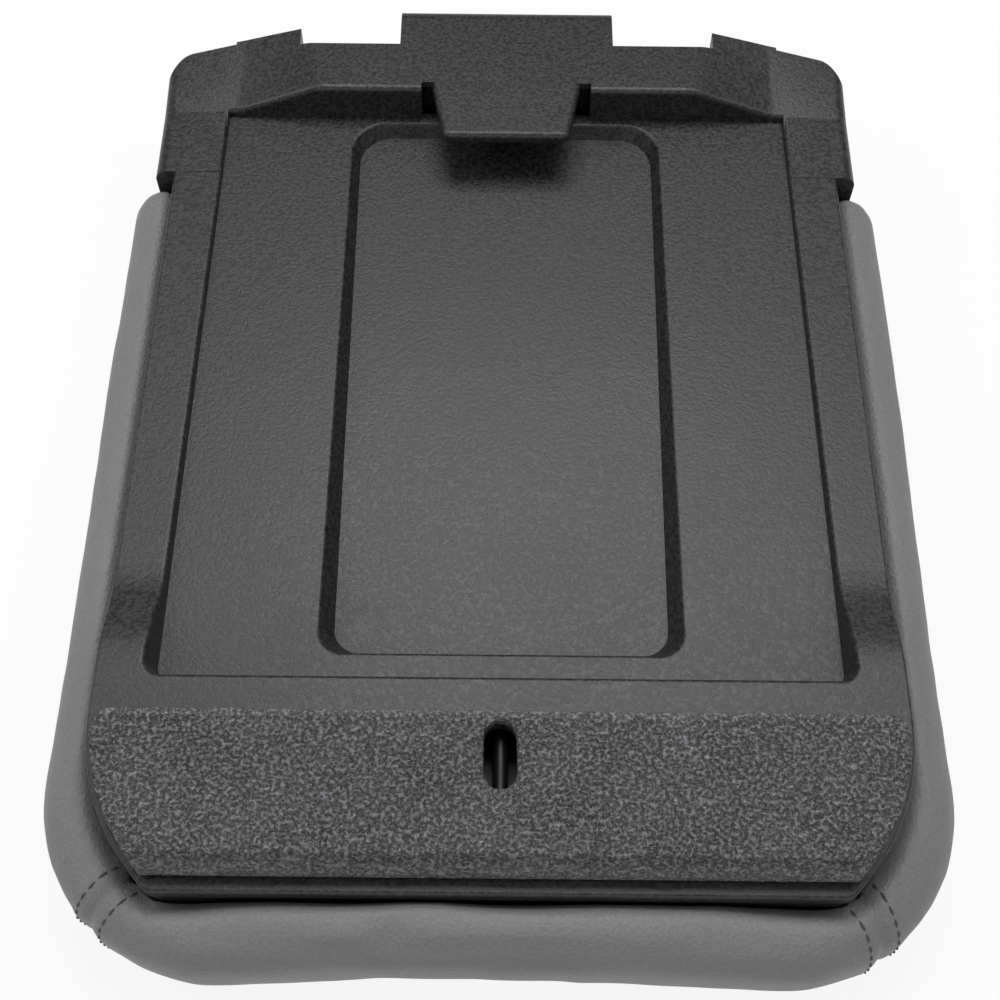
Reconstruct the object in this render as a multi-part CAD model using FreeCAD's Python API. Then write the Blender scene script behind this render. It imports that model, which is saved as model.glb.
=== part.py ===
"""Padded lid of a car's center console, lying on its armrest face with its bin side up.

X runs across the lid, +Y to the hinge end and +Z up, away from the armrest face. Places along the lid
are given as lengths forward of the notch edge, the rear edge of the hinge block beside the tongue.
"""
import FreeCAD
import Part
import math
import os
from FreeCAD import Vector

# Cushion: foam and cover round the edge of the lid
cushion_width = 304.0
cushion_front = 371.0
cushion_rear = 59.5
cushion_height = 48.0
corner_radius = 77.0
lower_roll = 20.0
upper_roll = 18.0
cover_thickness = 1.5
seam_inset = 20.5
hem_width = 8.0

# Inner panel: rim, ramp, front platform and lip
wall = 2.8
side_padding = 18.5
bend_start = 294.0
bend_radius = 78.0
lip_front = 350.0
lip_corner_radius = 6.0
rim_stand = 6.0
ramp_start = 236.0
ramp_end = 276.0
ramp_ease = 0.42
ramp_rise = 8.0
slope_top = 338.0
slope_bottom = 343.0
lip_drop = 1.0

# Field: the sunk, slightly sloping floor of the panel
field_rear = 27.0
field_front = 278.5
rim_rear_width = 19.5
rim_front_width = 18.0
field_rear_depth = 2.0
field_front_depth = 5.0
field_corner_radius = 6.0
side_draft = 0.16
rear_draft = 0.08

# Pocket: the deeper tray in the field
pocket_rear = 29.5
pocket_front = 267.0
pocket_width = 125.0
pocket_rear_depth = 6.0
pocket_front_depth = 10.0
pocket_rear_radius = 16.0
pocket_front_radius = 10.0
pocket_draft = 0.45

# Hinge block: crest, shoulders, ears and tongue
block_rise = 14.0
block_step = 8.0
block_front = 58.5
block_side_round = 5.0
block_corner_radius = 8.0
shoulder_run = 33.5
shoulder_inset = 4.5
shoulder_rise = 1.5
rear_flat_spread = 10.0
rear_shoulder_drop = 3.5
rear_side_drop = 9.5
shoulder_round = 14.0
rim_crown = 0.3
ear_inset = 28.5
ear_width = 27.5
ear_length = 7.7
ear_sweep = 2.0
ear_step = 1.2
corner_sweep = 8.0
corner_rise = 6.0
corner_inset = 7.0
tongue_root = 21.0
tongue_tip = 50.5
tongue_root_width = 61.0
tongue_tip_width = 50.0
tongue_thickness = 4.0
tongue_corner_radius = 3.0
window_width = 69.0
tail_width = 88.0

# Hinge leaf: steel strap with a rolled knuckle for the console's hinge pin
pin_radius = 3.0
leaf_thickness = 2.0
leaf_width = 83.0
leaf_length = 19.0
knuckle_offset = 14.0
knuckle_slit_angle = 24.0
tail_skirt = 3.5

# Lid base: tray that carries the padding and closes the hinge block underneath
base_inset = 1.0
base_plate = 3.0
base_wall = 3.0
rail_width = 9.0
rail_depth = 6.0
box_bottom = 8.0
box_bottom_round = 6.0
parting_drop = 2.0

# Front foam strip, with its slot
strip_rear = 294.0
strip_thickness = 5.0
strip_edge = 1.5
strip_corner_radius = 7.0
slot_setback = 15.0
slot_length = 23.0
slot_width = 10.8

# Latch striker
striker_bar_radius = 2.5
striker_bar_drop = 7.0
striker_leg_spread = 28.0
striker_bend_radius = 6.0
striker_foot_length = 54.0
striker_foot_width = 18.0
striker_foot_thickness = 3.0
striker_pad_height = 10.0

# Screws and staples
screw_radius = 1.9
screw_length = 13.0
screw_head_radius = 4.0
screw_head_height = 2.2
screw_head_round = 1.3
recess_width = 0.8
recess_depth = 1.2
boss_radius = 5.0
panel_screw_outer = 102.0
panel_screw_inner = 48.0
panel_screw_rear = 312.0
panel_screw_front = 326.0
hinge_screw_outer = 32.0
hinge_screw_inner = 14.0
hinge_screw_forward = 10.0
staple_crown = 10.0
staple_wire = 0.8
staple_leg = 5.0
staple_inset = 5.0
staple_pitch = 28.0
staple_start = 22.0
staple_front_count = 5

# Visible edge rounds
crest_round = 2.2
mouth_round = 1.5
lip_round = 1.2
edge_round = 1.0

# Clearances
seat_gap = 0.1
soft_gap = 0.3
end_gap = 1.0
floor_gap = 2.2
cut_overrun = 20.0

# Worked out from the sizes above
rim_height = cushion_height + rim_stand
platform_height = rim_height + ramp_rise
lip_height = rim_height - lip_drop
block_height = rim_height + block_rise
parting_height = cushion_height - parting_drop
field_rear_height = rim_height - field_rear_depth
field_front_height = rim_height - field_front_depth
base_floor = field_front_height - pocket_front_depth - wall - floor_gap - base_plate
striker_bar_height = platform_height - striker_bar_drop
slot_centre = strip_rear + slot_setback
panel_width = cushion_width - 2 * side_padding
seam_half_width = panel_width / 2 - seam_inset
block_width = panel_width + 2 * block_step
ear_outer = block_width / 2 - ear_inset
ear_inner = ear_outer - ear_width
field_rear_width = panel_width - 2 * rim_rear_width
field_front_width = panel_width - 2 * rim_front_width
shoulder_half_width = field_rear_width / 2 - shoulder_inset
crest_half_width = shoulder_half_width - shoulder_run
rear_flat_half_width = crest_half_width + rear_flat_spread
shoulder_height = rim_height + shoulder_rise
rear_shoulder_height = block_height - rear_shoulder_drop
rear_side_height = block_height - rear_side_drop
knuckle_outer = pin_radius + leaf_thickness
leaf_top = block_height - wall - soft_gap
knuckle_height = leaf_top - knuckle_outer
tail_outer = block_height - knuckle_height
tail_inner = tail_outer - wall
tail_end = knuckle_offset + tail_outer
overall_length = cushion_front + tail_end
notch_y = overall_length / 2 - tail_end
skirt_bottom = cushion_height + seat_gap
rail_top = cushion_height - cover_thickness - seat_gap
low = base_floor - end_gap
high = block_height + cut_overrun
reach = cushion_width


def at(x, forward, z):
    """Point across the lid, forward of the notch edge and up from the armrest face."""
    return Vector(x, notch_y - forward, z)


def face_of(edges):
    """Plane face inside one closed loop of edges."""
    return Part.Face(Part.Wire(Part.__sortEdges__(edges)))


def line(start, end):
    return Part.makeLine(start, end)


def arc(start, middle, end):
    return Part.Arc(start, middle, end).toShape()


def polygon(points):
    return Part.Face(Part.makePolygon(points + points[:1]))


def upright_edges(shape, test):
    """Edges of a prism that stand along Z at the plan places where the test holds."""
    found = []
    for edge in shape.Edges:
        start, end = edge.firstVertex().Point, edge.lastVertex().Point
        if abs(start.x - end.x) + abs(start.y - end.y) < 1e-6 and test(abs(start.x), notch_y - start.y):
            found.append(edge)
    return found


def box(half_width, rear, front, bottom, top):
    """Block centred across the lid."""
    return Part.makeBox(2 * half_width, front - rear, top - bottom, at(-half_width, front, bottom))


def cylinder(radius, x, forward, bottom, top):
    return Part.makeCylinder(radius, top - bottom, at(x, forward, bottom))


def frustum(bottom_points, top_points):
    """Solid with plane faces between two loops of four points."""
    faces = [polygon(bottom_points), polygon(top_points)]
    for i in range(4):
        j = (i + 1) % 4
        faces.append(polygon([bottom_points[i], bottom_points[j], top_points[j], top_points[i]]))
    solid = Part.Solid(Part.makeShell(faces))
    solid.fix(1e-6, 1e-6, 1e-6)
    return solid


def cushion_outline(inset):
    """Plan of the cushion: straight sides and front, with large round front corners."""
    half = cushion_width / 2 - inset
    radius = corner_radius - inset
    centre_x = cushion_width / 2 - corner_radius
    centre_f = cushion_front - corner_radius
    rear = cushion_rear + inset
    diagonal = radius * math.sqrt(0.5)
    edges = [line(at(-half, rear, 0), at(half, rear, 0))]
    for side in (1, -1):
        edges.append(line(at(side * half, rear, 0), at(side * half, centre_f, 0)))
        middle = at(side * (centre_x + diagonal), centre_f + diagonal, 0)
        edges.append(arc(at(side * half, centre_f, 0), middle, at(side * centre_x, centre_f + radius, 0)))
    ends = [at(side * centre_x, centre_f + radius, 0) for side in (1, -1)]
    edges.append(line(ends[0], ends[1]))
    return face_of(edges)


def pillow(inset):
    """The cushion's rounded form, drawn in all round by the inset."""
    face = cushion_outline(inset)
    face.translate(Vector(0, 0, inset))
    top = cushion_height - inset
    solid = face.extrude(Vector(0, 0, top - inset))
    rear_y = notch_y - cushion_rear - inset
    lower = [e for e in solid.Edges if e.BoundBox.ZMax < inset + 1e-6 and e.BoundBox.YMin < rear_y - 1e-6]
    solid = solid.makeFillet(lower_roll - inset, lower)
    upper = [e for e in solid.Edges if e.BoundBox.ZMin > top - 1e-6 and e.BoundBox.YMin < rear_y - 1e-6]
    return solid.makeFillet(upper_roll - inset, upper)


def panel_prism(inset, bottom, top, rear=None):
    """Upright prism on the rim's outline: straight sides that bend in to a square front."""
    rear = block_front - wall if rear is None else rear
    half = panel_width / 2 - inset
    radius = bend_radius - inset
    centre_x = panel_width / 2 - bend_radius
    front = lip_front - inset
    angle = math.asin((front - bend_start) / radius)
    front_x = centre_x + radius * math.cos(angle)
    edges = [line(at(-half, rear, bottom), at(half, rear, bottom))]
    for side in (1, -1):
        start = at(side * half, bend_start, bottom)
        edges.append(line(at(side * half, rear, bottom), start))
        middle_x = centre_x + radius * math.cos(angle / 2)
        middle = at(side * middle_x, bend_start + radius * math.sin(angle / 2), bottom)
        edges.append(arc(start, middle, at(side * front_x, front, bottom)))
    edges.append(line(at(front_x, front, bottom), at(-front_x, front, bottom)))
    solid = face_of(edges).extrude(Vector(0, 0, top - bottom))
    corners = upright_edges(solid, lambda x, f: abs(f - front) < 1e-6)
    return solid.makeFillet(lip_corner_radius, corners)


def block_prism(inset, bottom, top):
    """Upright prism on the hinge block's outline, with its two ears and swept corners."""
    half = block_width / 2 - inset
    front = block_front - inset
    right = [(0, inset), (ear_inner + inset, inset), (ear_inner + inset, inset - ear_length)]
    right += [(ear_outer - inset / 2, inset - ear_length + ear_sweep)]
    right += [(ear_outer, inset - ear_length + ear_sweep + ear_step)]
    right += [(half - corner_inset, inset - ear_length + corner_rise), (half, inset + corner_sweep)]
    right += [(half, front)]
    points = [at(x, f, bottom) for x, f in right]
    points += [at(-x, f, bottom) for x, f in reversed(right[1:])]
    solid = polygon(points).extrude(Vector(0, 0, top - bottom))
    rear_corner = right[5]
    corners = upright_edges(solid, lambda x, f: abs(x - rear_corner[0]) + abs(f - rear_corner[1]) < 1e-6)
    return solid.makeFillet(block_corner_radius, corners)


def rim_profile(offset, bottom):
    """Side view of the rim, the ramp up to the platform, and the slope down to the lip."""
    slope_angle = math.atan2(platform_height - lip_height, slope_bottom - slope_top)
    back = offset * math.tan(slope_angle / 2)
    rear, end = block_front - wall, lip_front + end_gap
    rim, platform, lip = rim_height - offset, platform_height - offset, lip_height - offset
    ease = (ramp_end - ramp_start) * ramp_ease
    poles = [(ramp_start, rim), (ramp_start + ease, rim), (ramp_end - ease, platform), (ramp_end, platform)]
    ramp = Part.BezierCurve()
    ramp.setPoles([at(-reach, f, z) for f, z in poles])
    corners = [(ramp_end, platform), (slope_top - back, platform), (slope_bottom - back, lip), (end, lip)]
    corners += [(end, bottom), (rear, bottom), (rear, rim), (ramp_start, rim)]
    edges = [ramp.toShape()]
    for start, finish in zip(corners[:-1], corners[1:]):
        edges.append(line(at(-reach, *start), at(-reach, *finish)))
    return face_of(edges).extrude(Vector(2 * reach, 0, 0))


def tangent_round(before, corner, after, radius):
    """Start, middle and end of the arc that rounds a corner of a profile."""
    one = (before - corner).normalize()
    two = (after - corner).normalize()
    half_angle = one.getAngle(two) / 2
    run = radius / math.tan(half_angle)
    bisector = (one + two).normalize()
    centre = corner + bisector * (radius / math.sin(half_angle))
    return corner + one * run, centre - bisector * radius, corner + two * run


def block_section(forward, offset, flat_half, flat_z, shoulder_z, side_z):
    """Cross-section of the hinge block: a flat top, shoulders falling to each side, and a round edge."""
    half = block_width / 2 - offset
    top = [(-half, low), (-half, side_z - offset), (-shoulder_half_width, shoulder_z - offset)]
    top += [(-flat_half, flat_z - offset), (flat_half, flat_z - offset)]
    top += [(shoulder_half_width, shoulder_z - offset), (half, side_z - offset), (half, low)]
    points = [at(x, forward, z) for x, z in top]
    radii = [block_side_round] + 4 * [shoulder_round] + [block_side_round]
    edges, previous = [], points[0]
    for i, radius in enumerate(radii, start=1):
        start, middle, end = tangent_round(points[i - 1], points[i], points[i + 1], radius)
        edges += [line(previous, start), arc(start, middle, end)]
        previous = end
    edges += [line(previous, points[-1]), line(points[-1], points[0])]
    return Part.Wire(edges)


def block_form(offset):
    """Hinge block below its top, drawn in by the offset."""
    sections = [
        block_section(-2 * ear_length, offset, rear_flat_half_width, block_height, rear_shoulder_height,
                      rear_side_height),
        block_section(field_rear, offset, crest_half_width, block_height, shoulder_height,
                      rim_height + rim_crown),
        block_section(block_front + end_gap, offset, crest_half_width, rim_height + 2 * rim_crown,
                      rim_height + rim_crown, rim_height),
    ]
    return Part.makeLoft(sections, True, True).common(block_prism(offset, low, high))


def field_height(forward):
    """Height of the sloping field at a place along the lid."""
    share = (forward - field_rear) / (field_front - field_rear)
    return field_rear_height + share * (field_front_height - field_rear_height)


def tapered_cut(rear, front, rear_half, front_half, rear_z, front_z, drafts):
    """Cutting solid with a sloping floor and walls that lean out; drafts are for side, rear and front."""
    side, back, fore = drafts
    spread = (front_half - rear_half - side * (front_z - rear_z)) / (front - rear)
    base = rear_half - spread * rear - side * rear_z
    floor, mouth = [], []
    for f, half, z, lean in ((rear, rear_half, rear_z, -back), (front, front_half, front_z, fore)):
        floor.append([at(-half, f, z), at(half, f, z)])
        f_mouth = f + lean * (high - z)
        wide = base + spread * f_mouth + side * high
        mouth.append([at(-wide, f_mouth, high), at(wide, f_mouth, high)])
    ring = [floor[0][0], floor[0][1], floor[1][1], floor[1][0]]
    rim = [mouth[0][0], mouth[0][1], mouth[1][1], mouth[1][0]]
    return frustum(ring, rim)


def corner_edges(solid, test):
    """Straight leaning corner edges of a cutting solid at the places along the lid where the test holds."""
    return [e for e in solid.Edges if e.BoundBox.ZLength > high - rim_height
            and e.Curve.TypeId == "Part::GeomLine" and test(notch_y - e.CenterOfMass.y)]


def field_cut(offset):
    """Space over the field; the offset widens and deepens it to leave a wall."""
    solid = tapered_cut(field_rear - offset, field_front + offset,
                        field_rear_width / 2 + offset, field_front_width / 2 + offset,
                        field_rear_height - offset, field_front_height - offset,
                        (side_draft, rear_draft, side_draft))
    middle = (field_rear + field_front) / 2
    return solid.makeFillet(field_corner_radius + offset, corner_edges(solid, lambda f: f > middle))


def pocket_cut(offset):
    """Space over the pocket's floor."""
    rear_z = field_height(pocket_rear) - pocket_rear_depth - offset
    front_z = field_height(pocket_front) - pocket_front_depth - offset
    rear_run = pocket_draft * pocket_rear_depth
    front_run = pocket_draft * pocket_front_depth
    solid = tapered_cut(pocket_rear + rear_run - offset, pocket_front - front_run + offset,
                        pocket_width / 2 - rear_run + offset, pocket_width / 2 - front_run + offset,
                        rear_z, front_z, (pocket_draft, pocket_draft, pocket_draft))
    middle = (pocket_rear + pocket_front) / 2
    solid = solid.makeFillet(pocket_rear_radius, corner_edges(solid, lambda f: f < middle))
    solid = solid.makeFillet(pocket_front_radius, corner_edges(solid, lambda f: f > middle))
    return solid.common(box(reach, pocket_rear - reach, pocket_front + reach, low, field_rear_height))


def panel_body(offset):
    """Rim, platform and hinge block together, before the field is sunk into them."""
    rim = panel_prism(offset, low, high).common(rim_profile(offset, low))
    return rim.fuse(block_form(offset)).removeSplitter()


def edges_on_both(form, first, second, shortest, test):
    """Edges of a form that run on the skins of two solids, at the places where the test holds."""
    skins = [Part.Shell(first.Faces), Part.Shell(second.Faces)]
    found = []
    for edge in form.Edges:
        middle = edge.valueAt((edge.FirstParameter + edge.LastParameter) / 2)
        if edge.Length > shortest and test(notch_y - middle.y, middle.z):
            if all(skin.distToShape(Part.Vertex(middle))[0] < 1e-4 for skin in skins):
                found.append(edge)
    return found


def panel_outside():
    """The panel's outer form, with round edges at the field, crest, pocket, rim, lip and notch."""
    outline, profile = panel_prism(0.0, low, high), rim_profile(0.0, low)
    plan = block_prism(0.0, low, high)
    body, field, pocket = panel_body(0.0), field_cut(0.0), pocket_cut(0.0)
    sunk = body.cut(field)
    form = sunk.cut(pocket)
    rim_low, crest_front, rim_rear = rim_height - end_gap, field_rear + end_gap, block_front + seat_gap
    rounds = [
        (mouth_round, 0.0, field, body, lambda f, z: f > crest_front and z > rim_low),
        (crest_round, crest_round, field, body, lambda f, z: f < crest_front and z > rim_low),
        (lip_round, 0.0, pocket, sunk, lambda f, z: z > field_height(f) - seat_gap),
        (lip_round, 0.0, outline, profile, lambda f, z: rim_rear < f < slope_top and z > rim_low),
        (lip_round, 0.0, outline, profile, lambda f, z: f > slope_bottom and z > lip_height - seat_gap),
        (edge_round, 0.0, plan, body, lambda f, z: abs(f) < seat_gap and z > rear_shoulder_height),
    ]
    for radius, shortest, first, second, test in rounds:
        form = form.makeFillet(radius, edges_on_both(form, first, second, shortest, test))
    return form


def slot_prism(bottom, top):
    """Upright prism of the latch slot, with round ends."""
    radius = slot_width / 2
    run = (slot_length - slot_width) / 2
    ends = [cylinder(radius, 0, slot_centre + run * side, bottom, top) for side in (-1, 1)]
    return box(radius, slot_centre - run, slot_centre + run, bottom, top).fuse(ends).removeSplitter()


def tongue():
    """Flat tongue that reaches from the hinge block over the pocket."""
    root, tip = tongue_root_width / 2, tongue_tip_width / 2
    bottom = block_height - tongue_thickness
    plan = [(-root, tongue_root), (root, tongue_root), (tip, tongue_tip), (-tip, tongue_tip)]
    solid = polygon([at(x, f, bottom) for x, f in plan]).extrude(Vector(0, 0, tongue_thickness))
    corners = upright_edges(solid, lambda x, f: f > tongue_root + end_gap)
    solid = solid.makeFillet(tongue_corner_radius, corners)
    shown = [e for e in solid.Edges if e.BoundBox.ZMin > block_height - 1e-6
             and e.BoundBox.YMin < notch_y - tongue_root - 1e-6]
    return solid.makeFillet(crest_round, shown)


def tail_bend(radius):
    """Start, middle and end of the tail's quarter turn round the hinge axis."""
    turn = radius * math.sqrt(0.5)
    start = at(-tail_width / 2, -knuckle_offset, knuckle_height + radius)
    middle = at(-tail_width / 2, -knuckle_offset - turn, knuckle_height + turn)
    return start, middle, at(-tail_width / 2, -knuckle_offset - radius, knuckle_height)


def tail():
    """Hood of the tongue behind the block, rolled down over the hinge knuckle."""
    outer, inner = tail_bend(tail_outer), tail_bend(tail_inner)
    drop = Vector(0, 0, -tail_skirt)
    root = [at(-tail_width / 2, wall, block_height), at(-tail_width / 2, wall, block_height - wall)]
    edges = [arc(*outer), arc(*inner), line(outer[2], outer[2] + drop), line(inner[2], inner[2] + drop)]
    edges += [line(outer[2] + drop, inner[2] + drop), line(root[0], outer[0]), line(*root)]
    edges += [line(root[1], inner[0])]
    return face_of(edges).extrude(Vector(tail_width, 0, 0))


def inner_panel():
    """Moulded liner of the lid: one thin shell of rim, field, pocket, platform, hinge block and tongue."""
    inside = panel_body(wall).cut(field_cut(wall)).cut(pocket_cut(wall))
    shell = panel_outside().cut(inside)
    rim_skirt = panel_prism(-end_gap, low - end_gap, skirt_bottom, block_front)
    rim_skirt = rim_skirt.cut(panel_prism(wall + end_gap, low - end_gap, skirt_bottom, 0))
    block_skirt = block_prism(-end_gap, low - end_gap, parting_height)
    block_skirt = block_skirt.cut(block_prism(wall + end_gap, low - end_gap, parting_height))
    block_skirt = block_skirt.cut(panel_prism(wall + end_gap, low - end_gap, parting_height, wall))
    shell = shell.cut(rim_skirt).cut(block_skirt)
    window = box(window_width / 2, tongue_root + end_gap, pocket_rear - end_gap,
                 field_rear_height, high)
    shell = shell.cut(window).fuse([tongue(), tail()]).removeSplitter()
    leaf_way = box(leaf_width / 2 + end_gap, -end_gap, wall + end_gap,
                   knuckle_height - knuckle_outer - end_gap, leaf_top + soft_gap)
    shell = shell.cut(leaf_way).cut(slot_prism(low, high))
    for x, forward in panel_screw_places():
        shell = shell.cut(cylinder(screw_radius + seat_gap, x, forward, base_floor, high))
    return shell


def panel_screw_places():
    """Four screws through the platform, under the foam strip."""
    places = ((panel_screw_outer, panel_screw_rear), (panel_screw_inner, panel_screw_front))
    return [(side * x, forward) for side in (-1, 1) for x, forward in places]


def hinge_screw_places():
    return [(x, hinge_screw_forward) for x in (-hinge_screw_outer, -hinge_screw_inner,
                                               hinge_screw_inner, hinge_screw_outer)]


def striker_screw_places():
    run = striker_foot_length / 2 - boss_radius
    return [(0.0, slot_centre + side * run) for side in (-1, 1)]


def pan_screw(x, forward, seat):
    """Pan-head screw with its head's underside on the seat and a cross recess in its top."""
    top = seat + screw_head_height
    head = cylinder(screw_head_radius, x, forward, seat, top)
    head = head.makeFillet(screw_head_round, [e for e in head.Edges if e.BoundBox.ZMin > top - 1e-6])
    screw = head.fuse(cylinder(screw_radius, x, forward, seat - screw_length, seat))
    for long, wide in ((screw_head_radius, recess_width), (recess_width, screw_head_radius)):
        bar = Part.makeBox(long, wide, recess_depth, at(x - long / 2, forward + wide / 2, top - recess_depth))
        screw = screw.cut(bar)
    return screw


def flat_screw(x, forward, top, gap=0.0):
    """Countersunk screw, flush with the leaf's upper face; the gap makes its hole."""
    head = Part.makeCone(screw_radius + gap, screw_head_radius + gap, leaf_thickness,
                         at(x, forward, top - leaf_thickness))
    return head.fuse(cylinder(screw_radius + gap, x, forward, top - leaf_thickness - screw_length, top))


def hinge_leaf():
    """Steel strap screwed to the base, rolled at its rear end into the knuckle."""
    half = leaf_width / 2
    strap = box(half, -knuckle_offset, leaf_length, leaf_top - leaf_thickness, leaf_top)
    centre = at(-half, -knuckle_offset, knuckle_height)
    across = Vector(1, 0, 0)
    knuckle = Part.makeCylinder(knuckle_outer, leaf_width, centre, across)
    slit_height = knuckle_outer * math.tan(math.radians(knuckle_slit_angle))
    slit = Part.makeBox(leaf_width, knuckle_outer, slit_height, centre - Vector(0, knuckle_outer, 0))
    slit.translate(Vector(0, 0, pin_radius - slit_height))
    leaf = knuckle.cut(slit).fuse(strap).cut(Part.makeCylinder(pin_radius, leaf_width, centre, across))
    for x, forward in hinge_screw_places():
        leaf = leaf.cut(flat_screw(x, forward, leaf_top, seat_gap))
    return leaf.removeSplitter()


def lid_base():
    """Moulded tray under the panel, with the staple rail, the box of the hinge block and screw bosses."""
    floor_top = base_floor + base_plate
    tray_rear = block_front - base_wall
    tray = panel_prism(base_inset, base_floor, rail_top, tray_rear)
    tray = tray.cut(panel_prism(base_inset + base_wall, floor_top, high, 0))
    rail = panel_prism(base_inset, rail_top - rail_depth, rail_top, block_front)
    rail = rail.cut(panel_prism(base_inset + rail_width, low, high, 0))
    under_block = box(reach, 0, block_front + seat_gap, parting_height - seat_gap, high)
    tray = tray.fuse(rail).cut(under_block)
    hull = block_prism(0.0, box_bottom, parting_height - seat_gap)
    lower = [e for e in hull.Edges if e.BoundBox.ZMax < box_bottom + 1e-6]
    hull = hull.makeFillet(box_bottom_round, lower)
    hull = hull.cut(block_prism(base_wall, box_bottom + base_plate, high))
    doorway = box(panel_width / 2 - base_inset - base_wall, tray_rear - base_wall, block_front + end_gap,
                  floor_top, high)
    base = hull.cut(doorway).fuse(tray)
    leaf_seat = leaf_top - leaf_thickness
    towers = [cylinder(boss_radius, x, f, box_bottom, leaf_seat) for x, f in hinge_screw_places()]
    web = box(hinge_screw_outer, hinge_screw_forward - base_wall / 2, hinge_screw_forward + base_wall / 2,
              box_bottom + base_plate, leaf_seat - screw_head_height)
    posts = [cylinder(boss_radius, x, f, base_floor, platform_height - wall) for x, f in panel_screw_places()]
    pad = box(striker_foot_width / 2, slot_centre - striker_foot_length / 2,
              slot_centre + striker_foot_length / 2, base_floor, floor_top + striker_pad_height)
    base = base.fuse(towers + [web, pad] + posts)
    hole = screw_radius + seat_gap
    for x, f in hinge_screw_places():
        base = base.cut(cylinder(hole, x, f, leaf_seat - screw_length - end_gap, high))
    for x, f in panel_screw_places():
        base = base.cut(cylinder(hole, x, f, platform_height - screw_length - end_gap, high))
    for x, f in striker_screw_places():
        base = base.cut(cylinder(hole, x, f, base_floor + end_gap, high))
    return base.removeSplitter()


def latch_striker():
    """Round bar bent into a loop along the slot, on a foot with two screw holes."""
    foot_bottom = base_floor + base_plate + striker_pad_height
    foot_top = foot_bottom + striker_foot_thickness
    half_length = striker_foot_length / 2
    foot = box(striker_foot_width / 2, slot_centre - half_length, slot_centre + half_length,
               foot_bottom, foot_top)
    corners = upright_edges(foot, lambda x, f: True)
    foot = foot.makeFillet(striker_foot_width / 4, corners)
    spread, bend = striker_leg_spread / 2, striker_bend_radius
    turn = bend * (1 - math.sqrt(0.5))
    rise = striker_bar_height
    path = [line(at(0, slot_centre - spread, foot_bottom), at(0, slot_centre - spread, rise - bend)),
            arc(at(0, slot_centre - spread, rise - bend), at(0, slot_centre - spread + turn, rise - turn),
                at(0, slot_centre - spread + bend, rise)),
            line(at(0, slot_centre - spread + bend, rise), at(0, slot_centre + spread - bend, rise)),
            arc(at(0, slot_centre + spread - bend, rise), at(0, slot_centre + spread - turn, rise - turn),
                at(0, slot_centre + spread, rise - bend)),
            line(at(0, slot_centre + spread, rise - bend), at(0, slot_centre + spread, foot_bottom))]
    start = at(0, slot_centre - spread, foot_bottom)
    section = Part.Wire(Part.makeCircle(striker_bar_radius, start, Vector(0, 0, 1)))
    bar = Part.Wire(path).makePipeShell([section], True, True)
    striker = foot.fuse(bar)
    for x, f in striker_screw_places():
        striker = striker.cut(cylinder(screw_radius + seat_gap, x, f, base_floor, high))
    return striker.removeSplitter()


def front_foam_strip():
    """Foam strip on the platform, folded down over the slope to the lip, with the latch slot."""
    slope = math.atan2(platform_height - lip_height, slope_bottom - slope_top)
    over = strip_thickness * math.tan(slope / 2)
    top = platform_height + strip_thickness
    foot = (slope_bottom, lip_height)
    outer = (slope_bottom + strip_thickness * math.sin(slope), lip_height + strip_thickness * math.cos(slope))
    profile = [(strip_rear, platform_height), (strip_rear, top), (slope_top + over, top), outer, foot]
    profile.append((slope_top, platform_height))
    side_view = polygon([at(-reach, f, z) for f, z in profile]).extrude(Vector(2 * reach, 0, 0))
    strip = side_view.common(panel_prism(strip_edge, low, high, 0))
    rear_corners = upright_edges(strip, lambda x, f: abs(f - strip_rear) < 1e-6)
    strip = strip.makeFillet(strip_corner_radius, rear_corners)
    strip = strip.cut(slot_prism(low, high))
    relief = screw_head_radius + soft_gap
    for x, f in panel_screw_places():
        strip = strip.cut(cylinder(relief, x, f, low, platform_height + screw_head_height + soft_gap))
    return strip


def staple(x, forward, along):
    """Staple with its crown on the hem and two legs through it into the rail."""
    seat = cushion_height
    half, wire = staple_crown / 2, staple_wire / 2
    long, wide = (half, wire) if along == "x" else (wire, half)
    crown = Part.makeBox(2 * long, 2 * wide, staple_wire, at(x - long, forward + wide, seat))
    legs = []
    for end in (-1, 1):
        shift = end * (half - wire)
        leg_x, leg_f = (x + shift, forward) if along == "x" else (x, forward + shift)
        legs.append(Part.makeBox(staple_wire, staple_wire, staple_leg,
                                 at(leg_x - wire, leg_f + wire, seat - staple_leg)))
    return crown.fuse(legs).removeSplitter()


def staples():
    """Staples along both sides and the front of the rail."""
    line_x = panel_width / 2 - staple_inset
    places = []
    count = int((bend_start - cushion_rear) // staple_pitch)
    for i in range(count):
        forward = cushion_rear + staple_start + staple_pitch * i
        places += [(side * line_x, forward, "y") for side in (-1, 1)]
    first = -staple_pitch * (staple_front_count - 1) / 2
    for i in range(staple_front_count):
        places.append((first + staple_pitch * i, lip_front - staple_inset, "x"))
    return [staple(*place) for place in places]


def cover_shell():
    """The whole cover: a skin over the cushion, open under the panel, with its hem on the rail."""
    skin = pillow(0.0).cut(pillow(cover_thickness))
    skin = skin.cut(panel_prism(hem_width, low, high, 0))
    skin = skin.cut(panel_prism(base_inset - seat_gap, base_floor - soft_gap, rail_top + seat_gap, 0))
    doorway = panel_prism(base_inset - soft_gap, base_floor - soft_gap, high, 0)
    end = box(reach, 0, cushion_rear + 2 * cover_thickness, low - end_gap, high)
    return skin.cut(doorway.common(end))


def foam_cushion():
    """Foam between the cover and the base."""
    core = pillow(cover_thickness + soft_gap)
    return core.cut(panel_prism(base_inset - soft_gap, base_floor - soft_gap, high, 0))


def export(name, shapes):
    """Write one node; a list is a group of separate solids."""
    shape = Part.makeCompound(shapes) if isinstance(shapes, list) else shapes
    shape.exportStep(os.path.join("parts", name + ".step"))


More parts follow.
